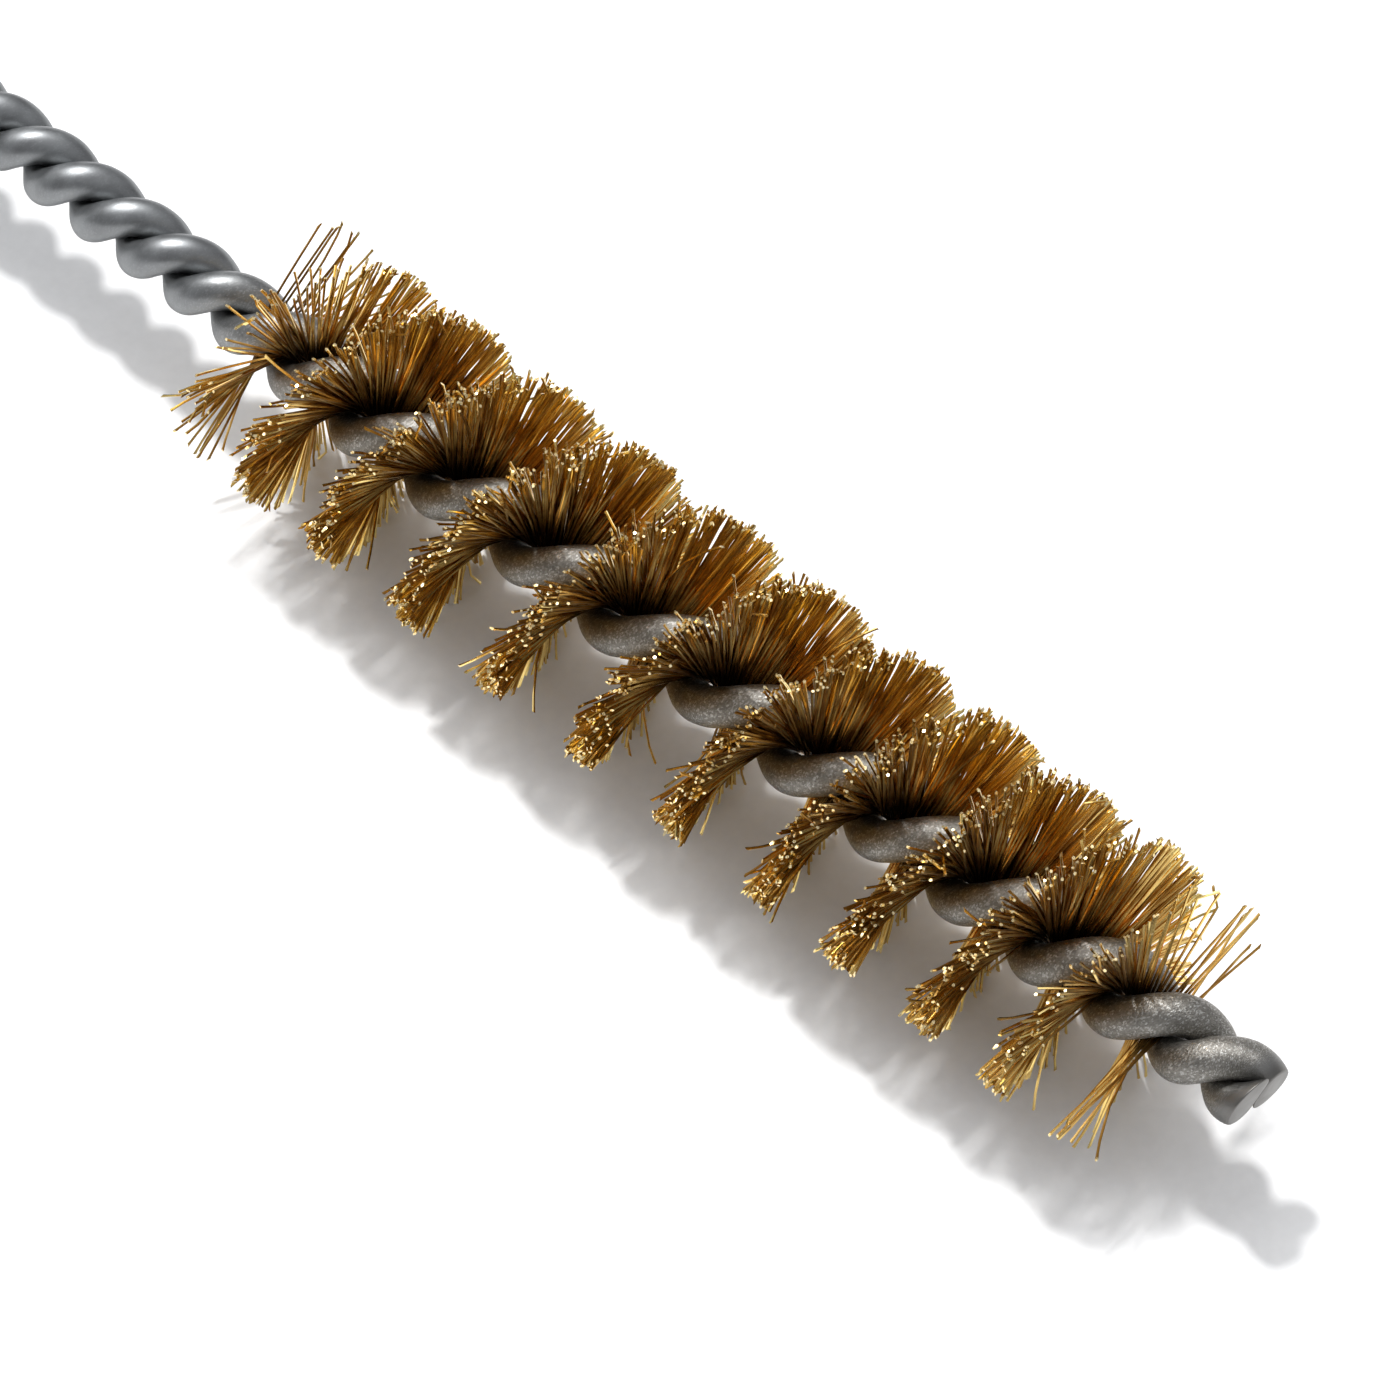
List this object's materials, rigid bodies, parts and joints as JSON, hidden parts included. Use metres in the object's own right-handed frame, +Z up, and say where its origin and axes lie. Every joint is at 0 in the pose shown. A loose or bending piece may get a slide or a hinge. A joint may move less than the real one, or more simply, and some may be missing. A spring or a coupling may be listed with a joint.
{
  "type": "twisted-in-wire brass brush",
  "caption": "Small hand brush: brass filaments clamped in a twisted galvanised steel wire that is folded into a ring handle, for cleaning soldering tips.",
  "frame": {"origin": "on the twist's axis, halfway along the brush's overall length", "axes": "+X along the twist's axis from the ring to the cut tip; the ring handle lies flat in the XY plane; +Z is up out of the ring's plane"},
  "size_m": [0.0896, 0.014, 0.0096],
  "materials": {
    "galvanised_wire": "galvanised, satin, mottled",
    "brass_filament": "drawn, lightly tarnished"
  },
  "bodies": {
    "root": {"stem_wire": "galvanised_wire", "filament_bundle_01": "brass_filament", "filament_bundle_02": "brass_filament", "filament_bundle_03": "brass_filament", "filament_bundle_04": "brass_filament", "filament_bundle_05": "brass_filament", "filament_bundle_06": "brass_filament", "filament_bundle_07": "brass_filament", "filament_bundle_08": "brass_filament", "filament_bundle_09": "brass_filament", "filament_bundle_10": "brass_filament", "filament_bundle_11": "brass_filament", "filament_bundle_12": "brass_filament", "filament_bundle_13": "brass_filament", "filament_bundle_14": "brass_filament", "filament_bundle_15": "brass_filament", "filament_bundle_16": "brass_filament", "filament_bundle_17": "brass_filament", "filament_bundle_18": "brass_filament", "filament_bundle_19": "brass_filament", "filament_bundle_20": "brass_filament", "filament_bundle_21": "brass_filament", "filament_bundle_22": "brass_filament"}
  },
  "joints": []
}
